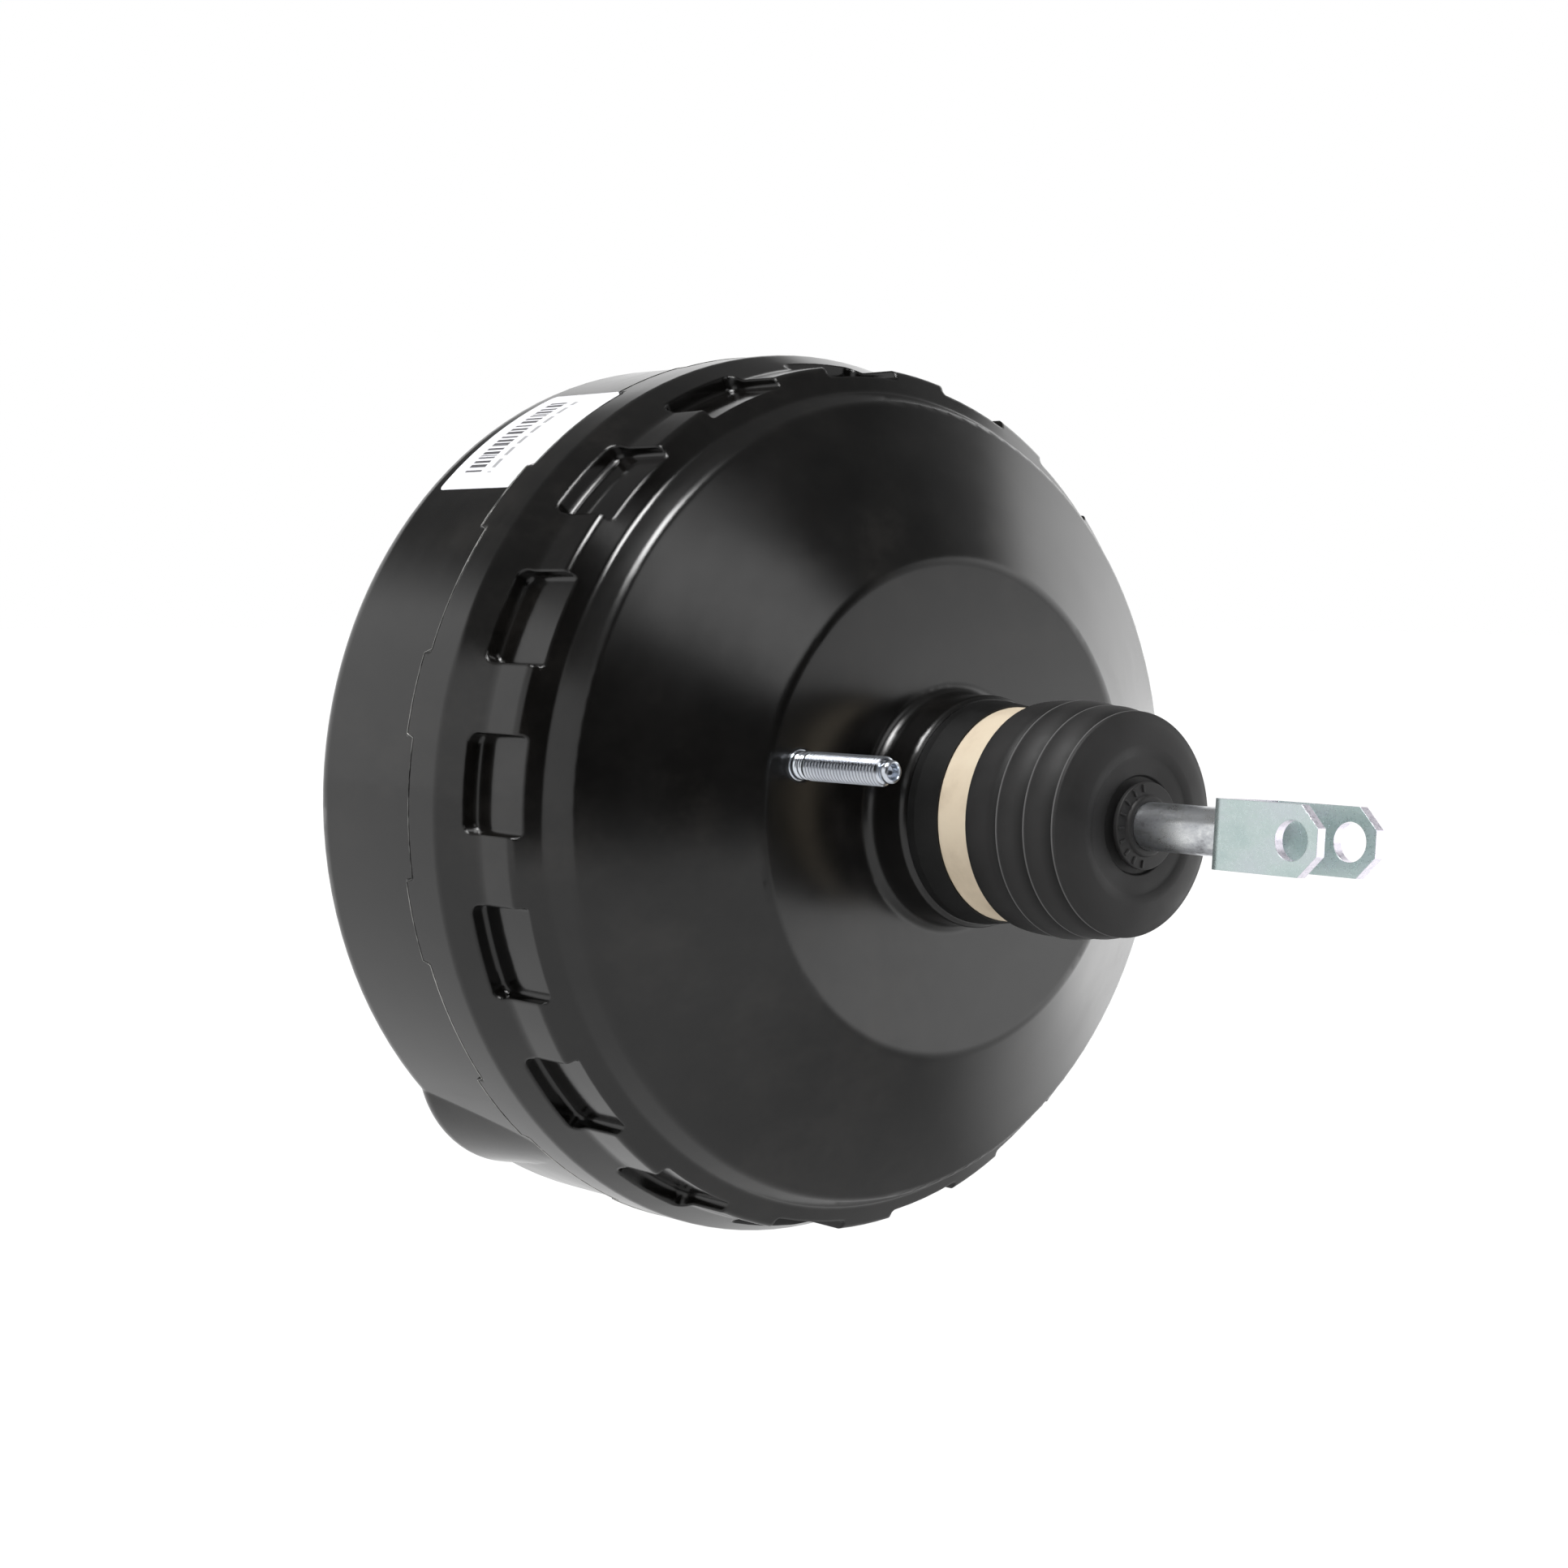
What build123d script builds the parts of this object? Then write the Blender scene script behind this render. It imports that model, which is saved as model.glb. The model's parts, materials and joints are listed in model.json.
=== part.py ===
from build123d import *
from math import asin, cos, degrees, hypot, radians, sin, sqrt
import os

# A tandem vacuum brake booster with its pedal pushrod and fork.
# Millimetres, +Z up. The booster's axis is Y: the pedal side faces -Y and the
# master cylinder side faces +Y. The origin is the centre of the flat rear
# face that bolts to the bulkhead. Profiles are drawn as (radius, y).

# Valve body tube, which the neck and the boot fit round
tube_r = 29.6               # slides in the neck
tube_wall = 4.0
tube_end = 46.0             # open rear end, behind the mounting face
slide_fit = 0.05

# Pressed shells
sheet = 1.5                 # shell sheet thickness
guide_wall = 1.0            # guide ring between the tube and the neck's hole
neck_hole_r = tube_r + guide_wall
neck_lip = 2.0              # turned-in neck end
neck_r = neck_hole_r + neck_lip
neck_length = 14.3          # neck end behind the mounting face
neck_root_round = 3.0
face_r = 70.5               # flat mounting face
shell_r = 129.4             # outside of the front shell
seam_clearance = 0.1
ridge_inset = 3.2           # raised band behind the seam, inside shell_r
ridge_r = shell_r - ridge_inset
ridge_height = 7.6          # raised band above the shoulder
shoulder_r = ridge_r - ridge_height
shoulder_step = 3.4
cone_r = shoulder_r - shoulder_step
cone_depth = 25.2
shoulder_depth = 33.0
ridge_depth = 38.0
flare_length = 14.0         # from the raised band out to the rim
rim_depth = 81.8            # free edge of the rear shell, at its tabs
rim_cover = 19.3            # how far the rim reaches over the seam
bead_start = rim_depth - rim_cover
bead_depth = 4.0            # rubber beads held in the seam
partition_y = bead_start + bead_depth
flare_gap = 0.5             # end of the flare behind the partition
ridge_end = partition_y - flare_gap - flare_length
tab_step = 3.1              # how far the rim is set back between tabs
tab_count = 13
tab_angle = 10.5
tab_phase = 138.0
pocket_count = 17
pocket_angle = 12.4
pocket_phase = 175.8
pocket_depth = 3.0
pocket_floor_r = ridge_r - pocket_depth
pocket_overrun = 5.0        # how far the pockets run on into the flare
pocket_front = ridge_end + pocket_overrun
pocket_round = 3.0          # corners seen from outside
pocket_foot_round = 1.2     # floor into walls
front_face = 131.0          # flat annulus of the front shell
front_corner_round = 8.0
hub_r = 56.0                # raised hub that carries the master cylinder
hub_height = 16.0
hub_cone_width = 10.0
pilot_r = 19.0              # hole that centres the master cylinder
bulge_angle = 231.0         # local bulge low on the front shell
bulge_r = 36.0
bulge_height = 5.5

# Seam between the shells
bead_height = 11.4
bead_inner_r = shell_r - bead_height
rubber_wall = 1.6

# Piston
hub_flange_width = 6.4
hub_flange_r = tube_r + hub_flange_width
hub_flange_start = 9.0
hub_flange_length = 4.0
body_neck_r = 22.0          # front neck, slides in the partition
nose_step = 4.0
body_nose_r = body_neck_r - nose_step
nose_length = 18.0
plate_sheet = 1.5
rear_plate_flat_gap = 0.5
rear_plate_flat_r = face_r - rear_plate_flat_gap
rear_plate_gap = 9.2        # room for the rolling skin round the rear plate
rear_plate_r = cone_r - rear_plate_gap
rear_plate_rise = 12.4
front_plate_gap = 17.9      # room for the rolling skin round the front plate
front_plate_r = shell_r - front_plate_gap
front_plate_rim = 16.0
plate_to_partition = 4.0

# Valve train
plunger_r = 9.0
plunger_flange_r = 12.5
plunger_flange_length = 3.0
valve_seat_y = 8.4          # seat on the valve body
seat_hole_r = 15.0
bore_shoulder = 4.6         # ledge that the poppet's lip sits on
poppet_bore_r = tube_r - tube_wall - bore_shoulder
poppet_lift_gap = 0.3
plunger_travel = 1.5
reaction_face = 62.0        # seat of the reaction disc
reaction_r = 13.0
reaction_depth = 6.0
ball_r = 6.0
ball_y = 26.0
ball_fit = 0.05
socket_mouth_r = 5.4
key_width = 17.0
key_thickness = 2.5
key_reach = 34.0
key_y = 15.0
key_clearance = 0.2
key_groove_r = 7.4

# Pushrod and fork
rod_r = 6.4
rod_step_r = 5.0
rod_neck_r = 4.0
rod_step_y = -26.0
swing = 1.5                 # pushrod swing each way, degrees
swing_clearance = 0.3
fork_base = 108.4           # rear face of the fork's bridge, behind the mounting face
fork_width = 26.0
fork_height = 18.0
fork_sheet = 3.0
fork_length = 31.6
fork_bend = 3.6
fork_chamfer = 5.5
fork_turn = 4.0
pin_r = 5.1
pin_inset = 8.0
rivet_r = 4.5
rivet_head_r = 7.0
rivet_head = 1.8

# Boot
boot_grip = 9.2             # length of the mouth on the tube
boot_mouth = tube_end - boot_grip
boot_folds = 3
boot_pitch = 9.1
boot_nose = 6.4             # smooth end past the last fold
boot_end = boot_mouth + boot_folds * boot_pitch + boot_nose
boot_gap = 0.3
boot_height = 2.3
boot_r = tube_r + boot_gap + boot_height
boot_wall = 1.9
boot_groove = 1.5
boot_end_round = 5.4
collar_gap = 0.4
collar_r = 12.1
collar_thickness = 1.8

# Fasteners
stud_r = 4.0
stud_circle_r = 59.0
stud_tilt = 14.1            # line of the rear studs, degrees below +X
stud_length = 39.0
stud_thread = 28.5
stud_point_step = 0.9
stud_point_r = stud_r - stud_point_step
stud_point_chamfer = 0.7
stud_shoulder = -4.0        # start of the thread, from the outer face
stud_head_r = 8.5
stud_head = 4.0
stud_grip_step = 0.3        # thicker shank that is pressed into the plates
stud_grip_r = stud_r + stud_grip_step
stud_fit = 0.1
stud_hole_r = stud_grip_r + stud_fit
backing_plate = 3.0
front_stud_circle_r = 40.0
front_stud_length = 26.0

# Neck seal
seal_lip_reach = 10.5       # lip behind the neck's end
seal_lip = neck_length + seal_lip_reach
seal_wall = 1.6
seal_collar_r = tube_r + seal_wall
seal_collar_length = 2.7
seal_collar = neck_length + seal_collar_length
seal_flange_width = 7.4
seal_flange_r = tube_r + seal_flange_width
seal_flange = 3.0
retainer_sheet = 1.0

# Vacuum connection
port_inset = 9.7            # port's centre inside the middle of the annulus
port_r = (hub_r + hub_cone_width + shell_r) / 2 - port_inset
port_angle = 62.0
grommet_r = 10.5
grommet_wall = 3.0
valve_flange_overlap = 2.5
valve_flange_r = grommet_r + valve_flange_overlap
nozzle_r = 5.0
nozzle_bore_r = 3.2
nozzle_length = 26.0

spring_wire = 4.0
spring_clearance = 3.0      # return spring round the valve body's neck
spring_r = body_neck_r + spring_clearance + spring_wire / 2
rod_spring_r = 12.0


def polar(radius, angle, y=0.0):
    """Location on a circle about the Y axis; angle from +X towards +Z."""
    return Pos(radius * cos(radians(angle)), y, radius * sin(radians(angle)))


def turned(angle):
    """Turn about the booster's axis, from +X towards +Z."""
    return Rot(0, -angle, 0)


def lathe(points, rounds=None):
    """Solid of revolution about Y from a closed outline of (radius, y)."""
    radii = rounds if rounds else [0] * len(points)
    outline = FilletPolyline(*points, radius=radii, close=True)
    return revolve(make_face(outline), Axis.Y)


def ring(inner, outer, y_start, y_end):
    """Plain ring about Y."""
    return lathe([(inner, y_start), (outer, y_start), (outer, y_end), (inner, y_end)])


def disc(radius, y_start, y_end):
    """Plain disc about Y."""
    return lathe([(0, y_start), (radius, y_start), (radius, y_end), (0, y_end)])


def sector(inner, outer, y_start, y_end, angle, corner=0.0):
    """Part of a ring, centred on +X, with its two corners at y_end rounded."""
    face = make_face(Polyline((inner, y_start), (outer, y_start), (outer, y_end),
                              (inner, y_end), close=True))
    solid = turned(-angle / 2) * revolve(face, Axis.Y, -angle)
    if corner > 0:
        edges = [edge for edge in solid.edges().filter_by(GeomType.LINE)
                 if abs(edge.center().Y - y_end) < 0.01]
        solid = fillet(edges, corner)
    return solid


def walled(points, rounds, wall, side=Side.RIGHT):
    """Revolved sheet of constant thickness beside an open line of (radius, y)."""
    with BuildSketch() as profile:
        with BuildLine():
            FilletPolyline(*points, radius=rounds)
            offset(amount=wall, side=side)
        make_face()
    return revolve(profile.sketch, Axis.Y)


def spring(radius, wire, y_start, y_end, turns):
    """Round wire coil about Y whose wire just reaches y_start and y_end."""
    height = y_end - y_start - wire
    path = Helix(height / turns, height, radius, center=(0, y_start + wire / 2, 0),
                 direction=(0, 1, 0))
    section = Plane(origin=path @ 0, z_dir=path % 0) * Circle(wire / 2)
    return sweep(section, path=path, is_frenet=True)


# Rear shell: neck, mounting face, cone, stepped shoulder and pocketed band
rim_r = shell_r + seam_clearance + sheet
seam_y = partition_y + plate_sheet
rear_outline = [
    (0, -neck_length), (neck_r, -neck_length), (neck_r, 0), (face_r, 0),
    (cone_r, cone_depth), (shoulder_r, shoulder_depth), (ridge_r, ridge_depth),
    (ridge_r, ridge_end), (rim_r, ridge_end + flare_length), (rim_r, rim_depth)]
rear_rounds = [0, 2.0, neck_root_round, 6.0, 4.0, 2.4, 2.4, 8.0, 5.0, 0]


def rear_region(wall):
    """Space inside the rear shell's outside, drawn in by a wall."""
    half = 20.0
    points = [(-half, rear_outline[0][1])] + rear_outline[1:-1]
    points = points + [(rim_r, rim_depth + half), (-half, rim_depth + half)]
    rounds = [0] + rear_rounds[1:-1] + [0, 0]
    face = make_face(FilletPolyline(*points, radius=rounds, close=True))
    if wall > 0:
        face = offset(face, -wall, kind=Kind.INTERSECTION)
    keep = Pos(rim_r, 0) * Rectangle(2 * rim_r, 4 * rim_r)
    return revolve(face & keep, Axis.Y)


def pocket(grow):
    """One pressed pocket's space, grown by a wall for its inner side."""
    spread = pocket_angle + 2 * degrees(asin(grow / pocket_floor_r))
    floor_r = pocket_floor_r - grow
    space = sector(floor_r, rim_r + 5, shoulder_depth - 6,
                   pocket_front + grow, spread, pocket_round + grow)
    feet = [edge for edge in space.edges()
            if hypot(edge.center().X, edge.center().Z) < floor_r + 0.5
            and edge.center().Y > shoulder_depth - 5]
    return fillet(feet, pocket_foot_round + grow)


def rear_shell():
    """Outer skin less inner skin, both pressed in by the same pockets."""
    angles = [pocket_phase + 360 / pocket_count * i for i in range(pocket_count)]
    outer = rear_region(0) - [turned(a) * pocket(0) for a in angles]
    inner = rear_region(sheet) - [turned(a) * pocket(sheet) for a in angles]
    shell = outer - inner
    shell -= disc(2 * rim_r, rim_depth, 4 * rim_r)
    shell -= disc(neck_hole_r, -neck_length - 1, 0)
    gap = 360 / tab_count - tab_angle
    notch = sector(ridge_r, rim_r + 5, rim_depth - tab_step, rim_depth + 5, gap)
    middle = tab_phase + 180 / tab_count
    shell -= [turned(middle + 360 / tab_count * i) * notch for i in range(tab_count)]
    hole = Rot(90, 0, 0) * Cylinder(stud_hole_r, 6 * sheet)
    shell -= [polar(stud_circle_r, a) * hole for a in rear_stud_angles]
    return shell


# Front shell: straight wall, flat annulus, raised hub and one local bulge
rear_stud_angles = [180 - stud_tilt, -stud_tilt]
front_stud_angles = [0, 180]
hub_face = front_face + hub_height


def front_region(wall):
    """Space inside the front shell's outside, drawn in by a wall."""
    outer_r = shell_r - wall
    face_y = front_face - wall
    points = [(0, seam_y), (outer_r, seam_y), (outer_r, face_y),
              (hub_r + hub_cone_width, face_y), (hub_r - wall / 2, hub_face - wall),
              (0, hub_face - wall)]
    rounds = [0, 0, front_corner_round - wall, 5.0 + wall, 5.0 - wall, 0]
    if wall > 0:
        points[0] = (0, seam_y - 5)
        points[1] = (outer_r, seam_y - 5)
    body = lathe(points, rounds)
    start = rim_depth + 1
    length = front_face - start - wall
    lump = Cone(bulge_r - bulge_height - wall, bulge_r - wall, length)
    lump = Pos(0, start + length / 2, 0) * Rot(-90, 0, 0) * lump
    lump = fillet(lump.edges().sort_by(Axis.Y)[-1:], front_corner_round - wall)
    reach = shell_r + bulge_height - bulge_r
    return body + polar(reach, bulge_angle) * lump


def front_shell():
    """Outer skin less inner skin, with the holes for the hub and the port."""
    shell = front_region(0) - front_region(sheet)
    shell -= disc(pilot_r, hub_face - 3 * sheet, hub_face + 1)
    hole = Rot(90, 0, 0) * Cylinder(stud_hole_r, 6 * sheet)
    shell -= [polar(front_stud_circle_r, a, hub_face) * hole for a in front_stud_angles]
    port_hole = Rot(90, 0, 0) * Cylinder(grommet_r, 6 * sheet)
    shell -= polar(port_r, port_angle, front_face) * port_hole
    return shell


# Backing plates and studs
def stud(length, thread, grip):
    """Headed stud along -Y; y = 0 is the outer face where its thick shank ends."""
    thread_end = stud_shoulder - thread
    head = grip + stud_head
    return lathe([(0, head), (stud_head_r, head), (stud_head_r, grip), (stud_grip_r, grip),
                  (stud_grip_r, 0), (stud_r, 0),
                  (stud_r, thread_end), (stud_point_r, thread_end - stud_r + stud_point_r),
                  (stud_point_r, stud_point_chamfer - length),
                  (stud_point_r - stud_point_chamfer, -length), (0, -length)],
                 [0, 0.8, 0, 0, 0, 0, 0, 0, 0, 0, 0])


def backing(inner, outer, y_start, circle_r, angles):
    """Flat plate behind a shell that spreads the studs' load."""
    plate = ring(inner, outer, y_start, y_start + backing_plate)
    hole = Rot(90, 0, 0) * Cylinder(stud_hole_r, 4 * backing_plate)
    return plate - [polar(circle_r, a, y_start) * hole for a in angles]


backing_grip = sheet + backing_plate


def rear_studs():
    """Two studs through the mounting face."""
    one = stud(stud_length, stud_thread, backing_grip)
    return Compound([polar(stud_circle_r, a) * one for a in rear_stud_angles])


def front_studs():
    """Two studs through the hub, pointing forwards."""
    thread = stud_thread - stud_length + front_stud_length
    one = Rot(180, 0, 0) * stud(front_stud_length, thread, backing_grip)
    return Compound([polar(front_stud_circle_r, a, hub_face) * one
                     for a in front_stud_angles])


def rear_backing_plate():
    """Plate inside the mounting face."""
    return backing(neck_r + 1.2, face_r - 3, sheet, stud_circle_r, rear_stud_angles)


def front_backing_plate():
    """Plate inside the hub."""
    start = hub_face - sheet - backing_plate
    outer = hub_r - 5
    return backing(pilot_r + 3, outer, start, front_stud_circle_r, front_stud_angles)


# Partition between the two chambers
seal_body_r = 26.0


def partition():
    """Flat pressed wall with a stiffening bead, held in the seam."""
    inner = seal_body_r
    points = [(inner, partition_y + plate_sheet), (inner, partition_y),
              (60, partition_y), (64, partition_y - 2), (86, partition_y - 2),
              (90, partition_y), (rim_r - sheet - 0.3, partition_y),
              (rim_r - sheet - 0.3, partition_y + plate_sheet),
              (90.6, partition_y + plate_sheet), (86.6, partition_y - 2 + plate_sheet),
              (63.4, partition_y - 2 + plate_sheet), (59.4, partition_y + plate_sheet)]
    return lathe(points)


def partition_seal():
    """Rubber ring in the partition's hole, sliding on the valve body's neck."""
    inner = body_neck_r + slide_fit
    groove = seal_body_r + 0.05
    y = partition_y
    top = y + plate_sheet
    return lathe([(inner, y - 3), (groove + 1, y - 3), (groove + 2.5, y - 1.2),
                  (groove + 2.5, y), (seal_body_r, y), (seal_body_r, top),
                  (groove + 1.5, top), (groove + 1.5, top + 1.2), (inner, top + 1.2)])


# Diaphragm plates and diaphragms
rear_plate_y = hub_flange_start + hub_flange_length
front_plate_y = seam_y + plate_to_partition


def rear_diaphragm_plate():
    """Dished plate that follows the rear cone."""
    return walled([(rear_plate_r, rear_plate_y + rear_plate_rise),
                   (rear_plate_flat_r, rear_plate_y), (body_neck_r + 0.1, rear_plate_y)],
                  [6.0], plate_sheet)


def front_diaphragm_plate():
    """Cup plate whose rim carries the rolling front diaphragm."""
    return walled([(front_plate_r, front_plate_y + front_plate_rim),
                   (front_plate_r, front_plate_y), (body_nose_r + 0.1, front_plate_y)],
                  [4.0], plate_sheet)


def rear_diaphragm():
    """Rubber skin behind the rear plate, with its bead held in the seam."""
    y = rear_plate_y
    slope = rear_plate_rise / (rear_plate_r - rear_plate_flat_r)
    bead_mid = bead_start + bead_depth / 2
    skin = walled([(bead_inner_r + 0.6, bead_mid), (bead_inner_r - 2.0, bead_start - 14.5),
                   (shoulder_r - 7.5, shoulder_depth),
                   (rear_plate_r + 2, y + rear_plate_rise + 2 * slope),
                   (rear_plate_flat_r, y), (hub_flange_r + 1, y)],
                  [6.0, 6.0, 4.0, 6.0], rubber_wall, Side.LEFT)
    bead = ring(bead_inner_r, rim_r - sheet - 3.4, bead_start, bead_start + bead_depth)
    inner_bead = ring(hub_flange_r + 0.1, hub_flange_r + 3.5, y - 3.2, y)
    return skin + bead + inner_bead


def front_diaphragm():
    """Rolling rubber skin behind and round the front plate."""
    y = front_plate_y - rubber_wall
    roll_r = front_plate_r + 0.3 + rubber_wall
    top = front_plate_y + front_plate_rim + 4
    outer_r = shell_r - sheet - 4
    skin = walled([(outer_r, seam_y + 1), (outer_r, top), (roll_r, top), (roll_r, y),
                   (body_neck_r + 4, y)], [2.7, 2.7, 4.6], rubber_wall)
    bead = ring(bead_inner_r, shell_r - sheet - seam_clearance, seam_y, seam_y + bead_depth)
    inner_bead = ring(body_neck_r + 0.1, body_neck_r + 4, y - 0.4, front_plate_y)
    return skin + bead + inner_bead


def plate_lock_ring():
    """Ring that holds the front plate on the valve body's nose."""
    y = front_plate_y + plate_sheet
    return ring(body_nose_r, body_neck_r, y, y + 2.5)


# Valve body
nose_end = front_plate_y + nose_length
bore_r = tube_r - tube_wall
bore_step = -1.0


def key_plate(grow, y_grow):
    """Slotted key plate, with its closed end towards +X."""
    width = key_width + 2 * grow
    start = -key_groove_r - 1.5
    plate = Pos((start + key_reach) / 2 - grow / 2, 0) * Rectangle(
        key_reach - start + grow, width)
    if grow == 0:
        slot = Circle(key_groove_r + 0.1)
        slot += Pos(start, 0) * Rectangle(-2 * start, 2 * key_groove_r + 0.2)
        plate -= slot
    solid = extrude(plate, key_thickness + 2 * y_grow)
    return Pos(0, key_y + key_thickness + y_grow, 0) * Rot(90, 0, 0) * solid


def valve_body():
    """Moulded tube with its flange, neck and nose, bored for the valve train."""
    y_flange = hub_flange_start
    outer = [(0, -tube_end), (tube_r, -tube_end), (tube_r, y_flange - 1),
             (hub_flange_r, y_flange), (hub_flange_r, rear_plate_y),
             (body_neck_r, rear_plate_y), (body_neck_r, front_plate_y),
             (body_nose_r, front_plate_y), (body_nose_r, nose_end), (0, nose_end)]
    body = lathe(outer, [0, 1.0, 0.3, 0.8, 0.8, 0, 0, 0, 1.0, 0])
    body -= disc(bore_r, -tube_end - 1, bore_step)
    body -= disc(poppet_bore_r, bore_step - 1, valve_seat_y + 1)
    body += lathe([(seat_hole_r, valve_seat_y), (seat_hole_r + 1.5, valve_seat_y),
                   (seat_hole_r + 2.5, valve_seat_y + 1.1), (seat_hole_r, valve_seat_y + 1.1)])
    body -= disc(seat_hole_r, valve_seat_y - 1, plunger_stop)
    body -= disc(plunger_r + slide_fit, plunger_stop - 1, reaction_face + 1)
    body -= disc(reaction_r + slide_fit, reaction_face, nose_end + 1)
    body -= key_plate(key_clearance, key_clearance)
    for angle in (120, 240):
        port = Pos(0, valve_seat_y + 2.5, 0) * Rot(90, 0, 0) * Cylinder(2.6, 16)
        body -= polar(18.4, angle) * port
    return body


plunger_seat_y = valve_seat_y - 0.1
plunger_stop = plunger_seat_y + plunger_flange_length + plunger_travel + 0.6
plunger_front = reaction_face - plunger_travel - 0.1


def stop_key():
    """Key that limits the plunger's travel in the valve body."""
    return key_plate(0, 0)


def plunger():
    """Air valve plunger: seat flange behind, ball socket inside."""
    groove_start = key_y - key_clearance
    groove_end = key_y + key_thickness + key_clearance + plunger_travel
    shape = lathe([(0, plunger_seat_y), (plunger_flange_r, plunger_seat_y),
                   (plunger_flange_r, plunger_seat_y + plunger_flange_length),
                   (plunger_r, plunger_seat_y + plunger_flange_length),
                   (plunger_r, plunger_front), (0, plunger_front)],
                  [0, 0.5, 0.5, 0, 0.8, 0])
    shape -= ring(key_groove_r, plunger_r + 1, groove_start - plunger_travel, groove_end)
    shape -= Pos(0, ball_y, 0) * Sphere(ball_r + ball_fit)
    shape -= disc(socket_mouth_r, plunger_seat_y - 1, ball_y)
    return shape


def reaction_disc():
    """Rubber disc that feeds the output load back to the plunger."""
    return lathe([(0, reaction_face), (reaction_r, reaction_face),
                  (reaction_r, reaction_face + reaction_depth),
                  (0, reaction_face + reaction_depth)], [0, 0.4, 0.4, 0])


output_flange_y = reaction_face + reaction_depth
output_tip = hub_face + 9.0
output_r = 6.0
tip_r = 5.0
tip_start = hub_face + 1.0
tip_round = 2.0


def output_rod():
    """Pushrod to the master cylinder, with its adjustable end."""
    rod = lathe([(0, output_flange_y), (reaction_r, output_flange_y),
                 (reaction_r, output_flange_y + 5), (output_r, output_flange_y + 8),
                 (output_r, tip_start), (tip_r, tip_start), (tip_r, output_tip),
                 (0, output_tip)], [0, 0.5, 1.0, 4.0, 0, 0, tip_round, 0])
    return rod


def output_rod_retainer():
    """Cap on the valve body's nose that keeps the output rod in."""
    start = front_plate_y + plate_sheet + 4
    return lathe([(body_nose_r, start), (body_nose_r + 1.2, start),
                  (body_nose_r + 1.2, nose_end + 1.2), (output_r + 1.5, nose_end + 1.2),
                  (output_r + 1.5, nose_end), (body_nose_r, nose_end)],
                 [0, 0, 1.2, 0, 0, 0])


# Poppet, filters and rod springs inside the tube
poppet_hole_r = 10.0
poppet_gap = 1.4
retainer_hole_r = 10.5
retainer_back = bore_step - 4.0


def poppet_valve():
    """Rubber poppet: sealing face in front, held lip behind."""
    face = plunger_seat_y - poppet_lift_gap
    lip = bore_step
    outer = poppet_bore_r - poppet_gap
    wall_r = outer - 1.4
    inner = wall_r - rubber_wall
    return lathe([(poppet_hole_r, face - 2.6), (inner, face - 2.6), (inner, lip - 2.5),
                  (bore_r - 0.1, lip - 2.5), (bore_r - 0.1, lip), (wall_r, lip),
                  (wall_r, face - 2.0), (outer, face - 2.0), (outer, face),
                  (poppet_hole_r, face)])


def poppet_retainer():
    """Pressed ring that holds the poppet's lip in the bore."""
    y = bore_step - 2.5
    return lathe([(retainer_hole_r, y - 1.5), (bore_r - 2.0, y - 1.5), (bore_r - 2.0, y - 6),
                  (bore_r, y - 6), (bore_r, y), (retainer_hole_r, y)])


def poppet_spring():
    """Light spring behind the poppet's face."""
    face = plunger_seat_y - poppet_lift_gap - 2.6
    return spring(14.2, 1.2, bore_step - 2.5, face, 3)


def rod_spring_seat():
    """Washer against the pushrod's step."""
    return ring(rod_step_r + 0.02, 13.0, rod_step_y, rod_step_y + 1.5)


def rod_return_spring():
    """Spring that pushes the pushrod back."""
    return spring(rod_spring_r, 1.6, rod_step_y + 1.5, retainer_back, 5)


filter_hole_r = rod_r + (ball_y + tube_end) * sin(radians(swing)) + swing_clearance


def air_filter():
    """Foam ring at the open end of the tube."""
    return ring(filter_hole_r, bore_r - 0.1, -tube_end + 2, -tube_end + 12)


def silencer():
    """Felt ring in front of the air filter."""
    return ring(filter_hole_r, bore_r - 0.1, -tube_end + 12, -tube_end + 17)


def filter_retainer():
    """Snap ring that keeps the filters in the tube."""
    return ring(bore_r - 4, bore_r, -tube_end + 0.5, -tube_end + 2)


# Pushrod and fork
def input_rod():
    """Forged pushrod: ball end, steps and riveted end."""
    bridge_front = -fork_base + fork_sheet
    head_back = -fork_base - rivet_head
    neck_start = ball_y - sqrt(ball_r ** 2 - rod_neck_r ** 2)
    rod = lathe([(0, head_back), (rivet_head_r - 1.2, head_back),
                 (rivet_head_r, head_back + 0.8), (rivet_head_r, -fork_base),
                 (rivet_r, -fork_base), (rivet_r, bridge_front), (rod_r, bridge_front),
                 (rod_r, rod_step_y), (rod_step_r, rod_step_y), (rod_step_r, 3.0),
                 (rod_neck_r, 5.5), (rod_neck_r, neck_start + 1), (0, neck_start + 1)])
    return rod + Pos(0, ball_y, 0) * Sphere(ball_r)


def fork():
    """Bent strip fork with a pin hole through both cheeks."""
    back = -fork_base
    half = fork_width / 2
    strip = FilletPolyline((-half, back - fork_length), (-half, back + fork_sheet),
                           (half, back + fork_sheet), (half, back - fork_length),
                           radius=fork_bend)
    with BuildSketch() as profile:
        with BuildLine():
            add(strip)
            offset(amount=fork_sheet, side=Side.RIGHT)
        make_face()
    shape = extrude(profile.sketch, fork_height / 2, both=True)
    tips = [edge for edge in shape.edges().filter_by(Axis.X)
            if abs(edge.center().Y - back + fork_length) < 0.01]
    shape = chamfer(tips, fork_chamfer)
    pin = Pos(0, back - fork_length + pin_inset, 0) * Rot(0, 90, 0)
    shape -= pin * Cylinder(pin_r, 2 * fork_width)
    shape -= disc(rivet_r + 0.02, back - 1, back + fork_sheet + 1)
    return Rot(0, fork_turn, 0) * shape


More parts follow.
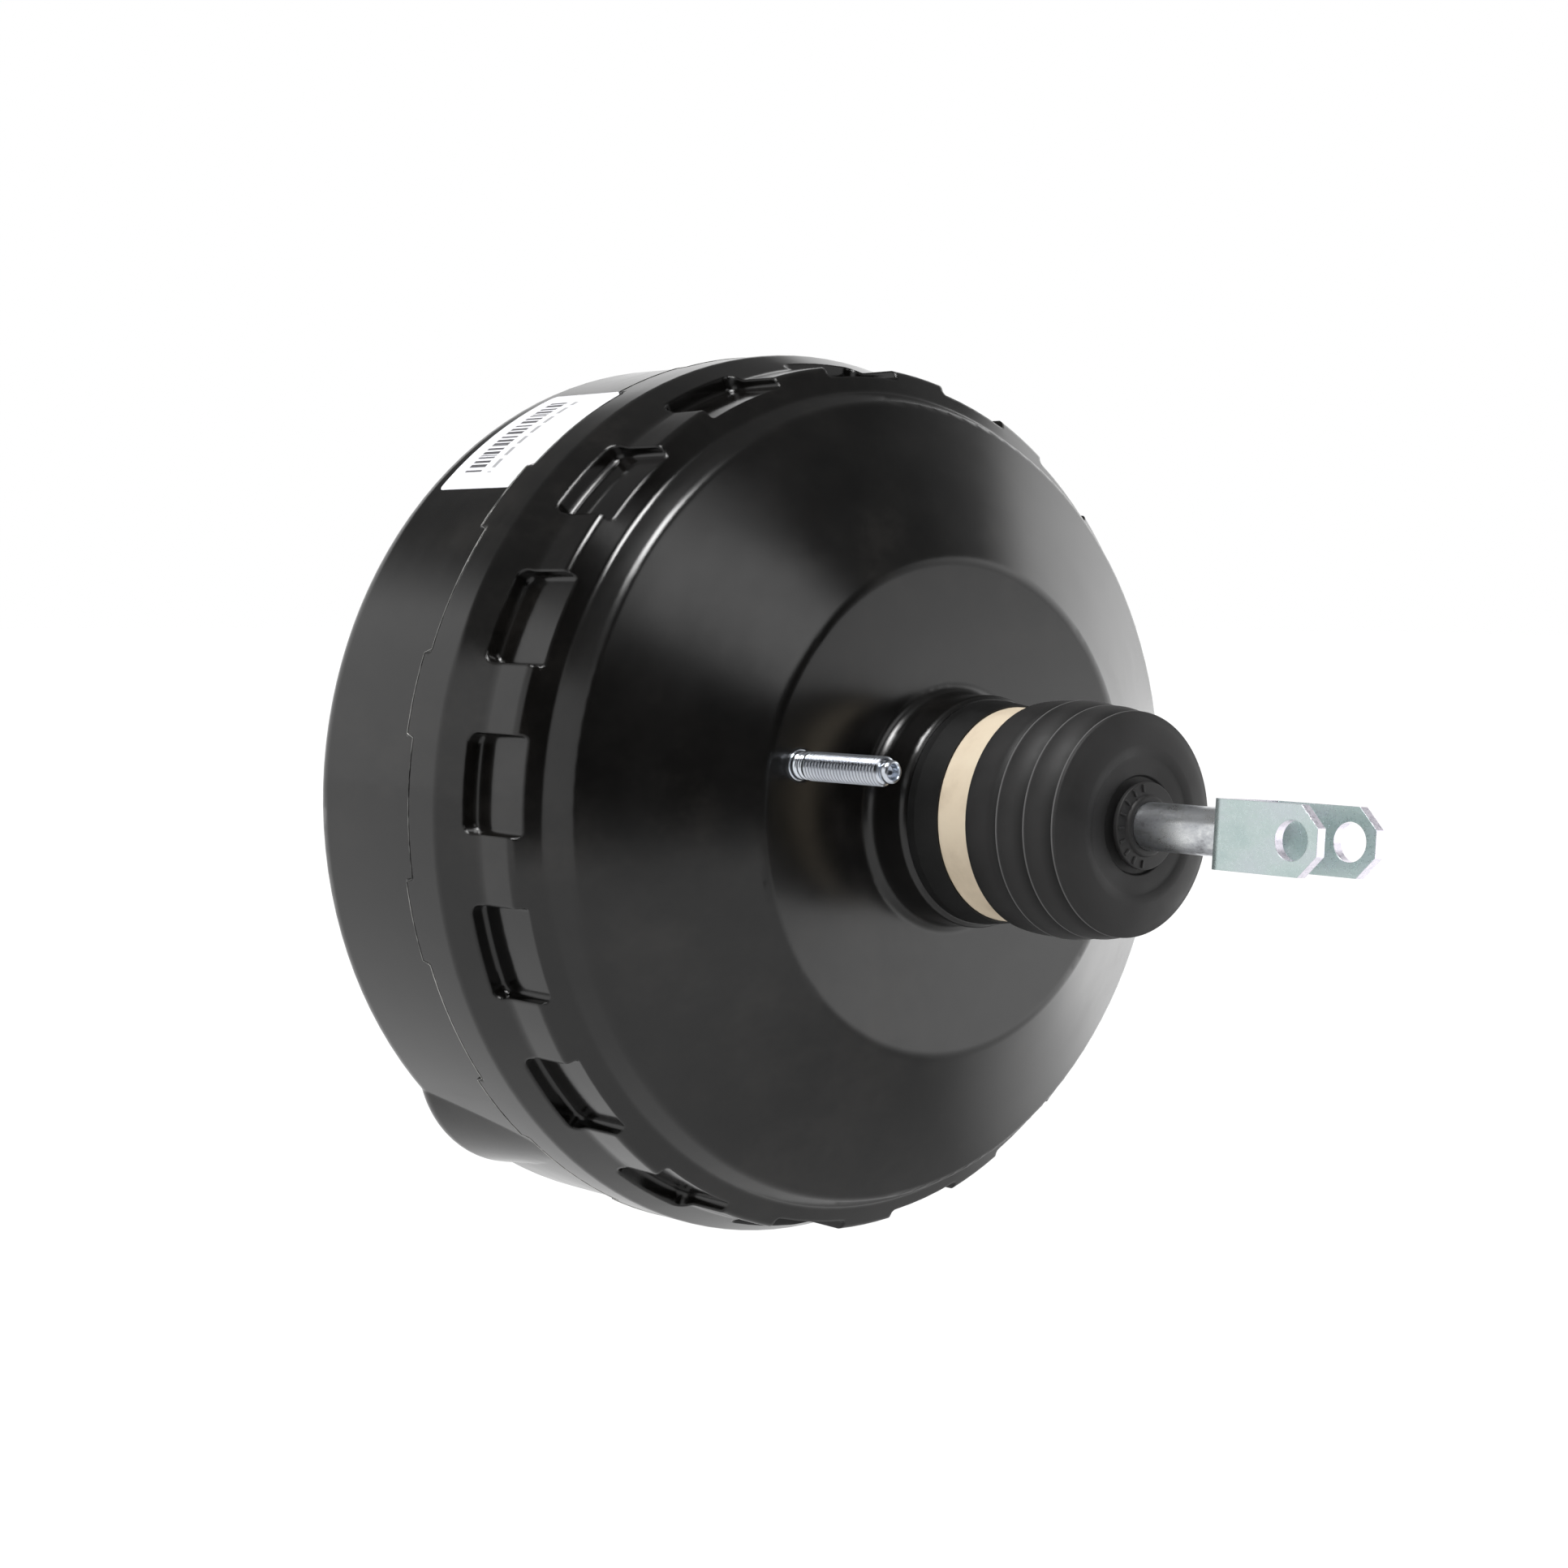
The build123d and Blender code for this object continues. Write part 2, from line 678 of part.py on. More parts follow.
# Boot
def boot():
    """Rubber bellows from the valve body's tube to the pushrod."""
    inner_r = tube_r + boot_gap
    start = -boot_mouth
    points = [(inner_r, start), (boot_r, start)]
    rounds = [0, 0.6]
    for i in range(boot_folds):
        y = start - boot_pitch * (i + 1)
        points += [(boot_r - 0.7, y + 0.7), (boot_r - boot_groove, y + 0.2),
                   (boot_r, y - 0.8)]
        rounds += [0.3, 0.15, 0.6]
    hole_r = rod_r + (ball_y + boot_end) * sin(radians(swing)) + swing_clearance
    points += [(boot_r, -boot_end), (hole_r, -boot_end),
               (hole_r, -boot_end + boot_wall)]
    rounds += [boot_end_round, 0, 0]
    points += [(inner_r, -boot_end + boot_wall)]
    rounds += [boot_end_round - boot_wall]
    return lathe(points, rounds)


def boot_collar():
    """Rubber collar on the pushrod that covers the boot's hole."""
    front = -boot_end - collar_gap
    return lathe([(rod_r + 0.02, front - collar_thickness - 1.0),
                  (rod_r + 2.0, front - collar_thickness - 1.0),
                  (rod_r + 2.0, front - collar_thickness),
                  (collar_r, front - collar_thickness), (collar_r, front),
                  (rod_r + 0.02, front)], [0, 0.6, 0.4, 0.6, 0.4, 0])


# Neck seal
def guide_seal():
    """Rubber guide ring in the neck, with its outer lip on the tube."""
    inner = tube_r + slide_fit
    neck_inner = neck_r - sheet - 0.05
    through = neck_hole_r - 0.05
    y_in = -neck_length + sheet
    y_flange = sheet + backing_plate
    return lathe([(inner, -seal_lip), (inner + 0.5, -seal_lip), (seal_collar_r, -seal_collar),
                  (seal_collar_r, -neck_length), (through, -neck_length),
                  (through, y_in), (neck_inner, y_in + 0.8), (neck_inner, y_flange),
                  (seal_flange_r, y_flange), (seal_flange_r, y_flange + seal_flange),
                  (inner, y_flange + seal_flange)])


def seal_retainer():
    """Pressed cup that holds the guide ring against the backing plate."""
    y = sheet + backing_plate
    top = y + seal_flange
    return lathe([(seal_flange_r, y), (seal_flange_r + 4, y),
                  (seal_flange_r + 4, y + retainer_sheet),
                  (seal_flange_r + retainer_sheet, y + retainer_sheet),
                  (seal_flange_r + retainer_sheet, top + 0.9),
                  (seal_flange_r - 3, top + 0.9), (seal_flange_r - 3, top),
                  (seal_flange_r, top)])


# Front seal and return spring
def front_seal():
    """Rubber ring round the output rod behind the pilot hole."""
    y = hub_face - sheet - backing_plate
    return lathe([(output_r + 0.4, y - 2), (output_r + 3, y - 2), (output_r + 5, y),
                  (pilot_r + 2.95, y), (pilot_r + 2.95, y + backing_plate),
                  (output_r + 0.4, y + backing_plate)])


def return_spring():
    """Main return spring between the front plate and the hub."""
    start = front_plate_y + plate_sheet
    end = hub_face - sheet - backing_plate
    return spring(spring_r, spring_wire, start, end, 5)


# Vacuum connection, drawn about its own axis and then placed
def vacuum_grommet():
    """Rubber grommet in the port hole."""
    y = front_face
    r = grommet_r
    shape = lathe([(r - grommet_wall, y - 5), (r + 1.5, y - 5), (r + 1.5, y - sheet),
                   (r, y - sheet), (r, y), (r + 3, y), (r + 3, y + 3),
                   (r - grommet_wall, y + 3)], [0, 1.2, 0.3, 0, 0, 0.3, 1.0, 0])
    return polar(port_r, port_angle) * shape


chamber_r = 5.2
chamber_start = -2.0
chamber_end = 8.0


def check_valve_body():
    """Moulded valve body with a barbed hose nozzle."""
    y = front_face
    r = grommet_r - grommet_wall
    tip = y + 3 + nozzle_length
    shape = lathe([(0, y - 9), (r + 1, y - 7), (r + 1, y - 5.2), (r, y - 5), (r, y + 3),
                   (valve_flange_r, y + 3), (valve_flange_r, y + 6), (9, y + 6.5),
                   (9, y + 10), (nozzle_r, y + 12), (nozzle_r, tip - 12),
                   (nozzle_r + 1, tip - 12), (nozzle_r, tip - 7), (nozzle_r + 1, tip - 7),
                   (nozzle_r - 0.6, tip), (0, tip)])
    shape -= disc(chamber_r, y + chamber_start, y + chamber_end)
    shape -= disc(nozzle_bore_r, y + chamber_end - 1, tip + 1)
    shape -= disc(2.6, y - 10, y + chamber_start + 1)
    return polar(port_r, port_angle) * shape


def check_valve_disc():
    """Disc that closes the port when the engine's vacuum falls."""
    y = front_face + chamber_start + 0.05
    shape = lathe([(0, y), (chamber_r - 0.6, y), (chamber_r - 0.6, y + 1.6), (1.6, y + 1.6),
                   (1.6, y + 3.2), (0, y + 3.2)])
    return polar(port_r, port_angle) * shape


def check_valve_spring():
    """Light spring that seats the disc."""
    y = front_face + chamber_start + 1.7
    shape = spring(chamber_r - 1.3, 0.7, y, front_face + chamber_end, 4)
    return polar(port_r, port_angle) * shape


nodes = [
    rear_shell, front_shell, rear_backing_plate, front_backing_plate, rear_studs,
    front_studs, partition, partition_seal, rear_diaphragm, rear_diaphragm_plate,
    front_diaphragm, front_diaphragm_plate, plate_lock_ring, valve_body, stop_key,
    plunger, reaction_disc, output_rod, output_rod_retainer, poppet_valve,
    poppet_retainer, poppet_spring, rod_spring_seat, rod_return_spring, air_filter,
    silencer, filter_retainer, input_rod, fork, boot, boot_collar, guide_seal,
    seal_retainer, front_seal, return_spring, vacuum_grommet, check_valve_body,
    check_valve_disc, check_valve_spring]

os.makedirs("parts", exist_ok=True)
for node in nodes:
    export_step(node(), f"parts/{node.__name__}.step")
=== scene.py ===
import json
from math import cos, hypot, pi, radians, sin
import bmesh
import bpy
from mathutils import Euler, Matrix, Vector


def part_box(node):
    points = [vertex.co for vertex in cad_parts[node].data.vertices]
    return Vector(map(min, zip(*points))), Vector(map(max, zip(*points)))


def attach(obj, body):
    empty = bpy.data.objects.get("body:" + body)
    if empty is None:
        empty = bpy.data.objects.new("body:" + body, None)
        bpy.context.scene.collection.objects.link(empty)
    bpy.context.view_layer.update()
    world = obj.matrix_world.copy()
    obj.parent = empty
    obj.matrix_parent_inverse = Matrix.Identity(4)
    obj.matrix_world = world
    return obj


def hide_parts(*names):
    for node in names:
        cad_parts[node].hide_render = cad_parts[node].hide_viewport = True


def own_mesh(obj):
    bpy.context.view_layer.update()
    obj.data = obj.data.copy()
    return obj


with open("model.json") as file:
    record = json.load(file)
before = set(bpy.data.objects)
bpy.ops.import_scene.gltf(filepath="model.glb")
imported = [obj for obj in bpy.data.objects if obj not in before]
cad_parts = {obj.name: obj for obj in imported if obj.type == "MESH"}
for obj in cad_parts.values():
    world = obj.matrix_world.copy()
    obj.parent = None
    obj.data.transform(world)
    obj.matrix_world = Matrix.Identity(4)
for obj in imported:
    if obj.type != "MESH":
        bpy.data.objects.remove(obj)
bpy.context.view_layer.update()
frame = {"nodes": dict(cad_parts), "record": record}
node = frame["nodes"]
mm = 0.001


# Materials
def set_range(made, start, end, low, high):
    """Sets the four limits of a map range node."""
    for key, value in zip(("From Min", "From Max", "To Min", "To Max"),
                          (start, end, low, high)):
        made.inputs[key].default_value = value


class Finish:
    """A material's node tree, with short calls for the nodes it needs."""

    def __init__(self, name, colour, roughness, metallic=0.0):
        self.material = bpy.data.materials.new(name)
        self.material.use_nodes = True
        self.tree = self.material.node_tree
        self.surface = self.tree.nodes["Principled BSDF"]
        self.surface.inputs["Base Color"].default_value = (*colour, 1)
        self.surface.inputs["Roughness"].default_value = roughness
        self.surface.inputs["Metallic"].default_value = metallic
        self.coordinates = self.add("ShaderNodeTexCoord")
        self.place = self.coordinates.outputs["Object"]
        self.normal = None

    def add(self, kind, **settings):
        made = self.tree.nodes.new(kind)
        for key, value in settings.items():
            setattr(made, key, value)
        return made

    def link(self, source, target):
        self.tree.links.new(source, target)

    def axes(self):
        """Object coordinates as the outputs X, Y and Z."""
        made = self.add("ShaderNodeSeparateXYZ")
        self.link(self.place, made.inputs["Vector"])
        return made.outputs

    def painted(self, name):
        """Value that a shape carries on its vertices under a name."""
        return self.add("ShaderNodeAttribute", attribute_name=name).outputs["Fac"]

    def plain(self, colour):
        """One even colour."""
        made = self.add("ShaderNodeRGB")
        made.outputs[0].default_value = (*colour, 1)
        return made.outputs[0]

    def stretch(self, scale):
        """Object coordinates scaled per axis."""
        mapping = self.add("ShaderNodeMapping")
        mapping.inputs["Scale"].default_value = scale
        self.link(self.place, mapping.inputs["Vector"])
        return mapping.outputs["Vector"]

    def noise(self, scale, detail, rough=0.55, place=None):
        made = self.add("ShaderNodeTexNoise")
        made.inputs["Scale"].default_value = scale
        made.inputs["Detail"].default_value = detail
        made.inputs["Roughness"].default_value = rough
        self.link(place or self.place, made.inputs["Vector"])
        return made.outputs["Fac"]

    def sum(self, kind, first, second):
        """One step of arithmetic; each term is a number or a node's output."""
        made = self.add("ShaderNodeMath", operation=kind)
        for i, term in enumerate((first, second)):
            if isinstance(term, (int, float)):
                made.inputs[i].default_value = term
            else:
                self.link(term, made.inputs[i])
        return made.outputs["Value"]

    def near(self, source, middle, half_width):
        """1 where the source is within half a width of the middle, else 0."""
        made = self.sum("COMPARE", source, middle)
        made.node.inputs[2].default_value = half_width
        return made

    def blend(self, share, first, second):
        """Mixes two colours by a share."""
        made = self.add("ShaderNodeMix", data_type="RGBA")
        self.link(share, made.inputs["Factor"])
        self.link(first, made.inputs[6])
        self.link(second, made.inputs[7])
        return made.outputs[2]

    def spread(self, source, low, high, start=0.35, end=0.65):
        """Maps start..end, by default a texture's middle range, to low..high."""
        made = self.add("ShaderNodeMapRange")
        set_range(made, start, end, low, high)
        self.link(source, made.inputs["Value"])
        return made.outputs["Result"]

    def tint(self, source, *stops):
        """Colour ramp; each stop is (place, (r, g, b))."""
        made = self.add("ShaderNodeValToRGB")
        ramp = made.color_ramp.elements
        while len(ramp) < len(stops):
            ramp.new(0.5)
        for element, (place, colour) in zip(ramp, stops):
            element.position = place
            element.color = (*colour, 1)
        self.link(source, made.inputs["Fac"])
        return made.outputs["Color"]

    def colour(self, source):
        self.link(source, self.surface.inputs["Base Color"])

    def rough(self, source):
        self.link(source, self.surface.inputs["Roughness"])

    def rounded_edges(self, radius, samples=6):
        """Soft highlight along sharp edges."""
        made = self.add("ShaderNodeBevel", samples=samples)
        made.inputs["Radius"].default_value = radius
        self.normal = made.outputs["Normal"]
        self.link(self.normal, self.surface.inputs["Normal"])

    def bump(self, source, distance, strength):
        made = self.add("ShaderNodeBump")
        made.inputs["Strength"].default_value = strength
        made.inputs["Distance"].default_value = distance
        self.link(source, made.inputs["Height"])
        if self.normal:
            self.link(self.normal, made.inputs["Normal"])
        self.normal = made.outputs["Normal"]
        self.link(self.normal, self.surface.inputs["Normal"])


def black_enamel():
    """Stoved black paint: near black, semi-gloss, with a slight orange peel."""
    made = Finish("black_enamel", (0.003, 0.003, 0.003), 0.16)
    made.rounded_edges(1.3 * mm)
    cloud = made.noise(14, 4)
    dust = made.noise(55, 7, 0.72, made.stretch((1, 0.5, 1)))
    haze = made.sum("MULTIPLY", cloud, made.spread(dust, 0.6, 1.35, 0.3, 0.75))
    made.colour(made.tint(haze, (0.28, (0.0018, 0.0017, 0.0016)),
                          (0.5, (0.0046, 0.0043, 0.0040)),
                          (0.75, (0.0125, 0.0115, 0.0105))))
    wipe = made.noise(30, 5, 0.6, made.stretch((1, 3, 1)))
    worn_face = made.spread(made.axes()["Y"], 0.10, 0, 27 * mm, 36 * mm)
    made.rough(made.sum("ADD", made.spread(wipe, 0.10, 0.16), worn_face))
    made.bump(made.noise(700, 2), 0.00001, 0.3)
    return made.material


def zinc(name, light, dark, roughness):
    """Bright zinc plating with faint clouds and fine marks, and painted shade in a thread's
    root.
    """
    made = Finish(name, light, roughness, 1.0)
    made.rounded_edges(0.25 * mm, 4)
    cloud = made.noise(90, 4, 0.6)
    plate = made.tint(cloud, (0.3, dark), (0.65, light))
    # the thread's root is painted darker as shade
    made.colour(made.blend(made.painted("root"), plate, made.plain((0.34, 0.35, 0.38))))
    marks = made.noise(1400, 3, 0.6)
    made.rough(made.spread(marks, roughness - 0.04, roughness + 0.06))
    made.bump(marks, 0.00001, 0.2)
    return made.material


fork_turn = radians(4)
cheek_axis = (cos(fork_turn), 0, -sin(fork_turn))


def fork_plating():
    """Greenish zinc on the flat sides and a lilac tint on the cut edges, painted brighter there
    as a highlight.
    """
    made = Finish("fork_plating", (0.56, 0.66, 0.65), 0.3, 0.75)
    made.rounded_edges(0.25 * mm, 4)
    across = made.add("ShaderNodeVectorMath", operation="DOT_PRODUCT")
    across.inputs[1].default_value = cheek_axis
    made.link(made.coordinates.outputs["Normal"], across.inputs[0])
    side = made.spread(made.sum("ABSOLUTE", across.outputs["Value"], 0), 0, 1, 0.55, 0.8)
    cloud = made.noise(130, 5, 0.6, made.stretch((1, 0.5, 1)))
    speck = made.noise(900, 3, 0.7)
    flat = made.tint(cloud, (0.32, (0.50, 0.61, 0.60)), (0.5, (0.56, 0.66, 0.65)),
                     (0.68, (0.59, 0.66, 0.68)))
    # the cut edges' lilac tint is painted brighter as a highlight
    cut_edge_tint_and_highlight = made.tint(speck, (0.35, (0.62, 0.60, 0.68)), (0.6, (0.80, 0.76, 0.84)))
    made.colour(made.blend(side, cut_edge_tint_and_highlight, flat))
    made.rough(made.spread(speck, 0.24, 0.36))
    made.bump(speck, 0.00003, 0.25)
    return made.material


def forged_rod():
    """Zinc plated forging with darker handled patches and drawing lines."""
    made = Finish("forged_rod", (0.42, 0.44, 0.47), 0.3, 1.0)
    made.rounded_edges(0.25 * mm, 4)
    patch = made.noise(160, 6, 0.7, made.stretch((1, 0.6, 1)))
    made.colour(made.tint(patch, (0.32, (0.30, 0.30, 0.32)), (0.44, (0.62, 0.64, 0.67)),
                          (0.58, (0.88, 0.90, 0.91))))
    line = made.noise(900, 3, 0.6, made.stretch((1, 0.12, 1)))
    made.rough(made.spread(patch, 0.42, 0.22))
    made.bump(line, 0.00006, 0.4)
    return made.material


def edge_highlight_steel():
    """Bright steel colour along an edge, a painted highlight on the burr."""
    made = Finish("edge_highlight_steel", (0.5, 0.5, 0.5), 0.35, 1.0)
    # where this noise runs high, bright steel shows as a painted highlight
    painted_light_mark = made.noise(26, 5, 0.7)
    made.colour(made.tint(painted_light_mark, (0.38, (0.03, 0.03, 0.03)), (0.46, (0.30, 0.30, 0.29)),
                          (0.62, (0.72, 0.71, 0.69))))
    made.rough(made.spread(painted_light_mark, 0.28, 0.5))
    made.bump(made.noise(3000, 3), 0.00003, 0.5)
    return made.material


def moulding():
    """Cream thermoset with grey smudges."""
    made = Finish("cream_moulding", (0.72, 0.61, 0.45), 0.5)
    made.rounded_edges(0.4 * mm, 4)
    smudge = made.noise(45, 5, 0.65)
    made.colour(made.tint(smudge, (0.30, (0.60, 0.50, 0.37)), (0.5, (0.72, 0.61, 0.46)),
                          (0.75, (0.76, 0.66, 0.50))))
    made.rough(made.spread(smudge, 0.42, 0.6))
    made.bump(made.noise(1600, 2), 0.00002, 0.3)
    return made.material


def rubber(name, colour, roughness, grain, shine):
    """Moulded rubber with a dusty bloom, painted highlights on the crests, painted shade in the
    valleys and a fine skin.
    """
    made = Finish(name, colour, roughness)
    made.surface.inputs["Specular IOR Level"].default_value = shine
    bloom = made.noise(38, 6, 0.65)
    pale = tuple(value * 1.5 + 0.004 for value in colour)
    # colour of the painted highlight on the crests
    crest = tuple(value * 2.2 + 0.08 for value in colour)
    skin = made.tint(bloom, (0.35, colour), (0.72, pale))
    # the crest value carries painted light: highlights on the crests, shade in the valleys
    painted_light_mark = made.painted("crest")
    high = made.spread(painted_light_mark, 0, 1, 0, 1)
    low = made.spread(painted_light_mark, 1, 0, -1, 0)
    lit = made.blend(high, skin, made.plain(crest))
    # the valleys are painted near black as shade
    made.colour(made.blend(low, lit, made.plain((0.001, 0.001, 0.001))))
    made.rough(made.spread(bloom, roughness - 0.07, roughness + 0.1))
    made.bump(made.noise(grain, 4, 0.6), 0.00005, 0.4)
    return made.material


def steel(name, light, dark, roughness):
    """Plain pressed or drawn steel with an oil film."""
    made = Finish(name, light, roughness, 1.0)
    made.rounded_edges(0.3 * mm, 4)
    film = made.noise(60, 5, 0.6)
    made.colour(made.tint(film, (0.3, dark), (0.7, light)))
    made.rough(made.spread(film, roughness - 0.08, roughness + 0.12))
    made.bump(made.noise(2200, 2, 0.5), 0.00002, 0.3)
    return made.material


def open_foam():
    """Dark open-cell foam."""
    made = Finish("open_foam", (0.05, 0.05, 0.05), 0.9)
    cells = made.add("ShaderNodeTexVoronoi", feature="DISTANCE_TO_EDGE")
    cells.inputs["Scale"].default_value = 700
    made.link(made.place, cells.inputs["Vector"])
    made.colour(made.tint(cells.outputs["Distance"], (0.05, (0.09, 0.09, 0.09)),
                          (0.35, (0.012, 0.012, 0.012))))
    made.bump(cells.outputs["Distance"], 0.0004, 0.8)
    return made.material


def felt():
    """Pressed grey felt."""
    made = Finish("pressed_felt", (0.45, 0.43, 0.38), 0.95)
    hair = made.noise(900, 6, 0.75, made.stretch((1, 0.3, 1)))
    made.colour(made.tint(hair, (0.35, (0.30, 0.29, 0.26)), (0.65, (0.52, 0.50, 0.45))))
    made.bump(hair, 0.0003, 0.7)
    return made.material


def moulded_nylon():
    """Black nylon, slightly glossy."""
    made = Finish("moulded_nylon", (0.02, 0.02, 0.02), 0.38)
    made.rounded_edges(0.3 * mm, 4)
    cloud = made.noise(120, 3)
    made.colour(made.tint(cloud, (0.35, (0.016, 0.016, 0.017)),
                          (0.7, (0.028, 0.028, 0.029))))
    made.rough(made.spread(cloud, 0.32, 0.46))
    made.bump(made.noise(1800, 2), 0.00002, 0.3)
    return made.material


enamel = black_enamel()
stud_zinc = zinc("stud_zinc", (0.72, 0.76, 0.82), (0.58, 0.62, 0.69), 0.20)
fork_zinc = fork_plating()
rod_zinc = forged_rod()
cream = moulding()
boot_rubber = rubber("boot_rubber", (0.0145, 0.014, 0.014), 0.58, 1300, 0.3)
seal_rubber = rubber("seal_rubber", (0.004, 0.004, 0.004), 0.55, 1600, 0.25)
pressed_steel = steel("pressed_steel", (0.42, 0.43, 0.44), (0.30, 0.30, 0.31), 0.38)
spring_steel = steel("spring_steel", (0.26, 0.26, 0.27), (0.15, 0.15, 0.15), 0.32)
foam = open_foam()
grey_felt = felt()
nylon = moulded_nylon()

finish_of = {
    "black_paint": enamel, "zinc_stud": stud_zinc, "zinc_fork": fork_zinc,
    "zinc_rod": rod_zinc, "cream_moulding": cream, "boot_rubber": boot_rubber,
    "seal_rubber": seal_rubber, "plain_steel": pressed_steel,
    "spring_steel": spring_steel, "filter_foam": foam, "filter_felt": grey_felt,
    "valve_plastic": nylon}
slot_of = {part["node"]: part["material_slot"] for part in frame["record"]["subparts"]}
for name, piece in node.items():
    for slot in piece.material_slots:
        slot.material = finish_of[slot_of[name]]


# Shapes
sharp_angle = radians(38)


def finished(shape, name, material, body):
    """Makes the object of a bmesh and lets it ride on its body."""
    bmesh.ops.recalc_face_normals(shape, faces=shape.faces)
    mesh = bpy.data.meshes.new(name)
    shape.to_mesh(mesh)
    shape.free()
    mesh.shade_smooth()
    mesh.set_sharp_from_angle(angle=sharp_angle)
    mesh.materials.append(material)
    piece = bpy.data.objects.new(name, mesh)
    bpy.context.scene.collection.objects.link(piece)
    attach(piece, body)
    return piece


def outline(points, closed):
    """A wire of (radius, y, rounding) points in millimetres, corners rounded."""
    shape = bmesh.new()
    corners = [(shape.verts.new((r * mm, y * mm, 0)), radius) for r, y, radius in points]
    verts = [vert for vert, _ in corners]
    pairs = list(zip(verts, verts[1:]))
    if closed:
        pairs.append((verts[-1], verts[0]))
    for pair in pairs:
        shape.edges.new(pair)
    for vert, radius in corners:
        if radius:
            bmesh.ops.bevel(shape, geom=[vert], offset=radius * mm, offset_type="OFFSET",
                            segments=5, profile=0.5, affect="VERTICES", material=-1)
    return shape


def lathed(points, steps, closed=False):
    """Full turn of an outline about Y."""
    shape = outline(points, closed)
    bmesh.ops.spin(shape, geom=shape.verts[:] + shape.edges[:], cent=(0, 0, 0),
                   axis=(0, 1, 0), angle=2 * pi, steps=steps, use_merge=True)
    bmesh.ops.remove_doubles(shape, verts=shape.verts, dist=1e-7)
    return shape


# Studs
stud_r = 4.0
pitch = 1.25
thread_depth = 0.62
thread_start = -4.2
thread_sides = 32
plate_grip = 4.5
shank_r, head_r = 4.3, 8.5


def thread(turns):
    """Helical thread towards -Y: a toothed line, screwed through one turn."""
    shape = bmesh.new()
    # root marks the thread's root for painted shade
    root = shape.verts.layers.float.new("root")
    teeth = []
    for i in range(turns + 1):
        y = thread_start - pitch * i
        for share, depth in ((0, thread_depth), (0.12, thread_depth), (0.44, 0.0),
                             (0.56, 0.0), (0.88, thread_depth)):
            place = ((stud_r - depth) * mm, (y - pitch * share) * mm, 0)
            teeth.append(shape.verts.new(place))
            teeth[-1][root] = min(depth * 2, 1)
    for pair in zip(teeth, teeth[1:]):
        shape.edges.new(pair)
    bmesh.ops.spin(shape, geom=shape.verts[:] + shape.edges[:], cent=(0, 0, 0),
                   axis=(0, 1, 0), dvec=(0, -pitch * mm / thread_sides, 0),
                   angle=2 * pi, steps=thread_sides)
    bmesh.ops.remove_doubles(shape, verts=shape.verts, dist=2e-6)
    return shape


def stud_body(length, thread_end):
    """Shank, undercut, thread core, dog point and weld head of a stud along -Y."""
    core = stud_r - thread_depth - 0.02
    point = 3.15
    return lathed([
        (0, plate_grip + 4, 0), (head_r, plate_grip + 4, 0.8),
        (head_r, plate_grip + 0.02, 0.3), (shank_r, plate_grip, 0.1),
        (shank_r, 0, 0.1), (stud_r, -0.05, 0), (stud_r, -1.6, 0.6), (3.35, -2.0, 0.1),
        (3.35, -2.5, 0.1), (3.9, -2.9, 0.2), (3.9, -3.4, 0.2), (3.4, -3.8, 0.1),
        (core, thread_start - 0.1, 0.1),
        (core, thread_end - 0.2, 0.1), (2.55, thread_end - 0.5, 0.1),
        (2.55, thread_end - 1.0, 0.1), (point, -length + 1.7, 0.2),
        (point, -length + 0.5, 0.4), (point - 0.55, -length, 0.2),
        (2.2, -length, 0.1), (2.0, -length + 0.5, 0.1), (1.7, -length + 2.4, 0.1),
        (0, -length + 2.4, 0)], 48)


def joined(target, extra, place):
    """Copies a bmesh into another at a place, both with outward faces."""
    bmesh.ops.recalc_face_normals(extra, faces=extra.faces)
    bmesh.ops.transform(extra, matrix=place, verts=extra.verts)
    mesh = bpy.data.meshes.new("part")
    extra.to_mesh(mesh)
    extra.free()
    target.from_mesh(mesh)
    bpy.data.meshes.remove(mesh)


def studs(name, node_name, length, turns, places):
    """Threaded studs in place of the plain ones."""
    shape = bmesh.new()
    thread_end = thread_start - pitch * (turns + 1)
    for place in places:
        joined(shape, stud_body(length, thread_end), place)
        joined(shape, thread(turns), place)
    piece = finished(shape, name, stud_zinc, "housing")
    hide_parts(node_name)


def on_circle(radius, angle, y=0.0):
    """Place on a circle about the Y axis, angle from +X towards +Z."""
    return Matrix.Translation(Vector((radius * cos(radians(angle)), y,
                                      radius * sin(radians(angle)))) * mm)


bulkhead_circle, bulkhead_turns = 59, (165.9, -14.1)
cylinder_circle, cylinder_face = 40, 147
flip = Matrix.Rotation(pi, 4, "X")
studs("bulkhead_studs", "rear_studs", 36.8, 22,
      [on_circle(bulkhead_circle, turn) for turn in bulkhead_turns])
studs("cylinder_studs", "front_studs", 26.0, 14,
      [on_circle(cylinder_circle, turn, cylinder_face) @ flip for turn in (0, 180)])


# Boot
mouth = -36.8
boot_end = -71.2
crests = ((-49.0, 32.4), (-57.9, 31.4), (-67.0, 30.2))


